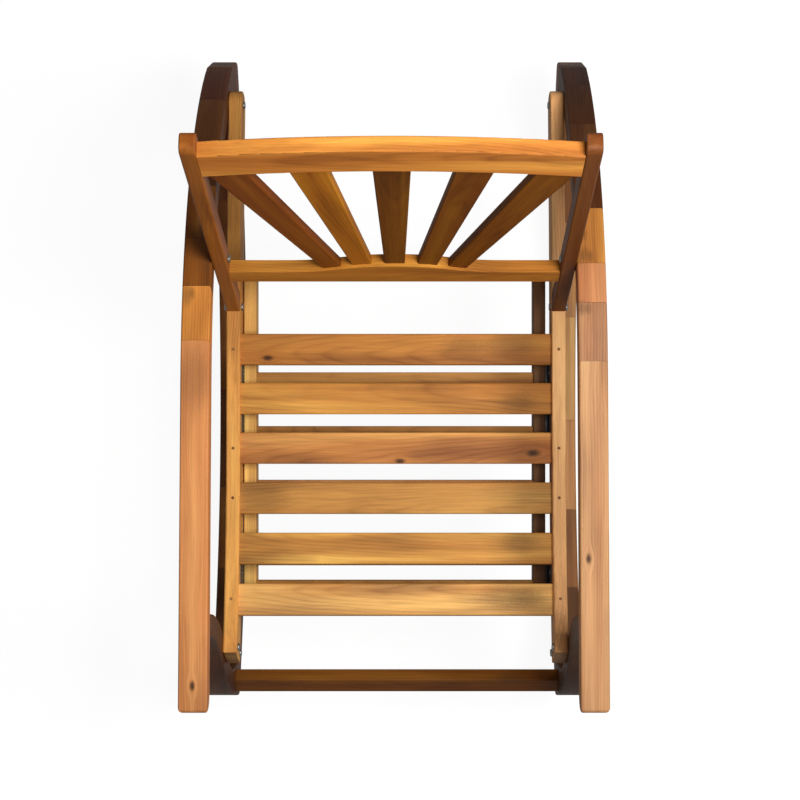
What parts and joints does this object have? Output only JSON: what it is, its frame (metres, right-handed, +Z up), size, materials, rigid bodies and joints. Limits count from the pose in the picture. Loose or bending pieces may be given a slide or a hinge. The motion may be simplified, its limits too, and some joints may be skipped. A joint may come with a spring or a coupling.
{
  "type": "rocking chair with pull-out footrest",
  "caption": "Slatted hardwood rocking chair with arched arms, a fan of spindles in its back and a slatted footrest that slides out from under the seat.",
  "frame": {"origin": "on the floor plane that the rockers touch, under the middle of the whole chair's box", "axes": "+X towards the right as seen by someone standing in front of the chair, +Y towards the back of the chair, +Z up"},
  "size_m": [0.662, 1.1378, 0.9648],
  "materials": {
    "frame_wood": "oiled satin",
    "slat_wood": "oiled satin",
    "pale_wood": "oiled satin",
    "brown_wood": "oiled satin",
    "plug_wood": "oiled satin",
    "bright_steel": "zinc plated",
    "black_steel": "black"
  },
  "bodies": {
    "chair": {"angle_screws": "bright_steel", "back_spindle_1": "brown_wood", "back_spindle_2": "brown_wood", "back_spindle_3": "brown_wood", "back_spindle_4": "brown_wood", "back_spindle_5": "brown_wood", "crest_rail": "frame_wood", "front_stretcher": "brown_wood", "left_arm": "frame_wood", "left_back_post": "brown_wood", "left_frame_bolts": "bright_steel", "left_frame_dowels": "plug_wood", "left_frame_nuts": "bright_steel", "left_front_angle": "black_steel", "left_front_leg": "brown_wood", "left_middle_angle": "black_steel", "left_rocker": "frame_wood", "left_seat_rail": "pale_wood", "lower_back_rail": "pale_wood", "right_arm": "frame_wood", "right_back_post": "brown_wood", "right_frame_bolts": "bright_steel", "right_frame_dowels": "plug_wood", "right_frame_nuts": "bright_steel", "right_front_angle": "black_steel", "right_front_leg": "brown_wood", "right_middle_angle": "black_steel", "right_rocker": "frame_wood", "right_seat_rail": "pale_wood", "seat_slat_1": "slat_wood", "seat_slat_2": "slat_wood", "seat_slat_3": "slat_wood", "seat_slat_4": "slat_wood", "seat_slat_5": "slat_wood", "seat_slat_6": "slat_wood", "seat_slat_pins": "plug_wood", "seat_stop_batten": "frame_wood"},
    "footrest": {"footrest_left_rail": "pale_wood", "footrest_rear_bar": "frame_wood", "footrest_right_rail": "pale_wood", "footrest_slat_1": "slat_wood", "footrest_slat_2": "slat_wood", "footrest_slat_3": "slat_wood", "footrest_slat_4": "slat_wood", "footrest_slat_5": "slat_wood", "footrest_stop_strip": "frame_wood"}
  },
  "joints": [
    {"name": "footrest_slide", "type": "slide", "parent": "chair", "child": "footrest", "axis": [0, -1, 0], "range_m": [0, 0.2495]}
  ]
}
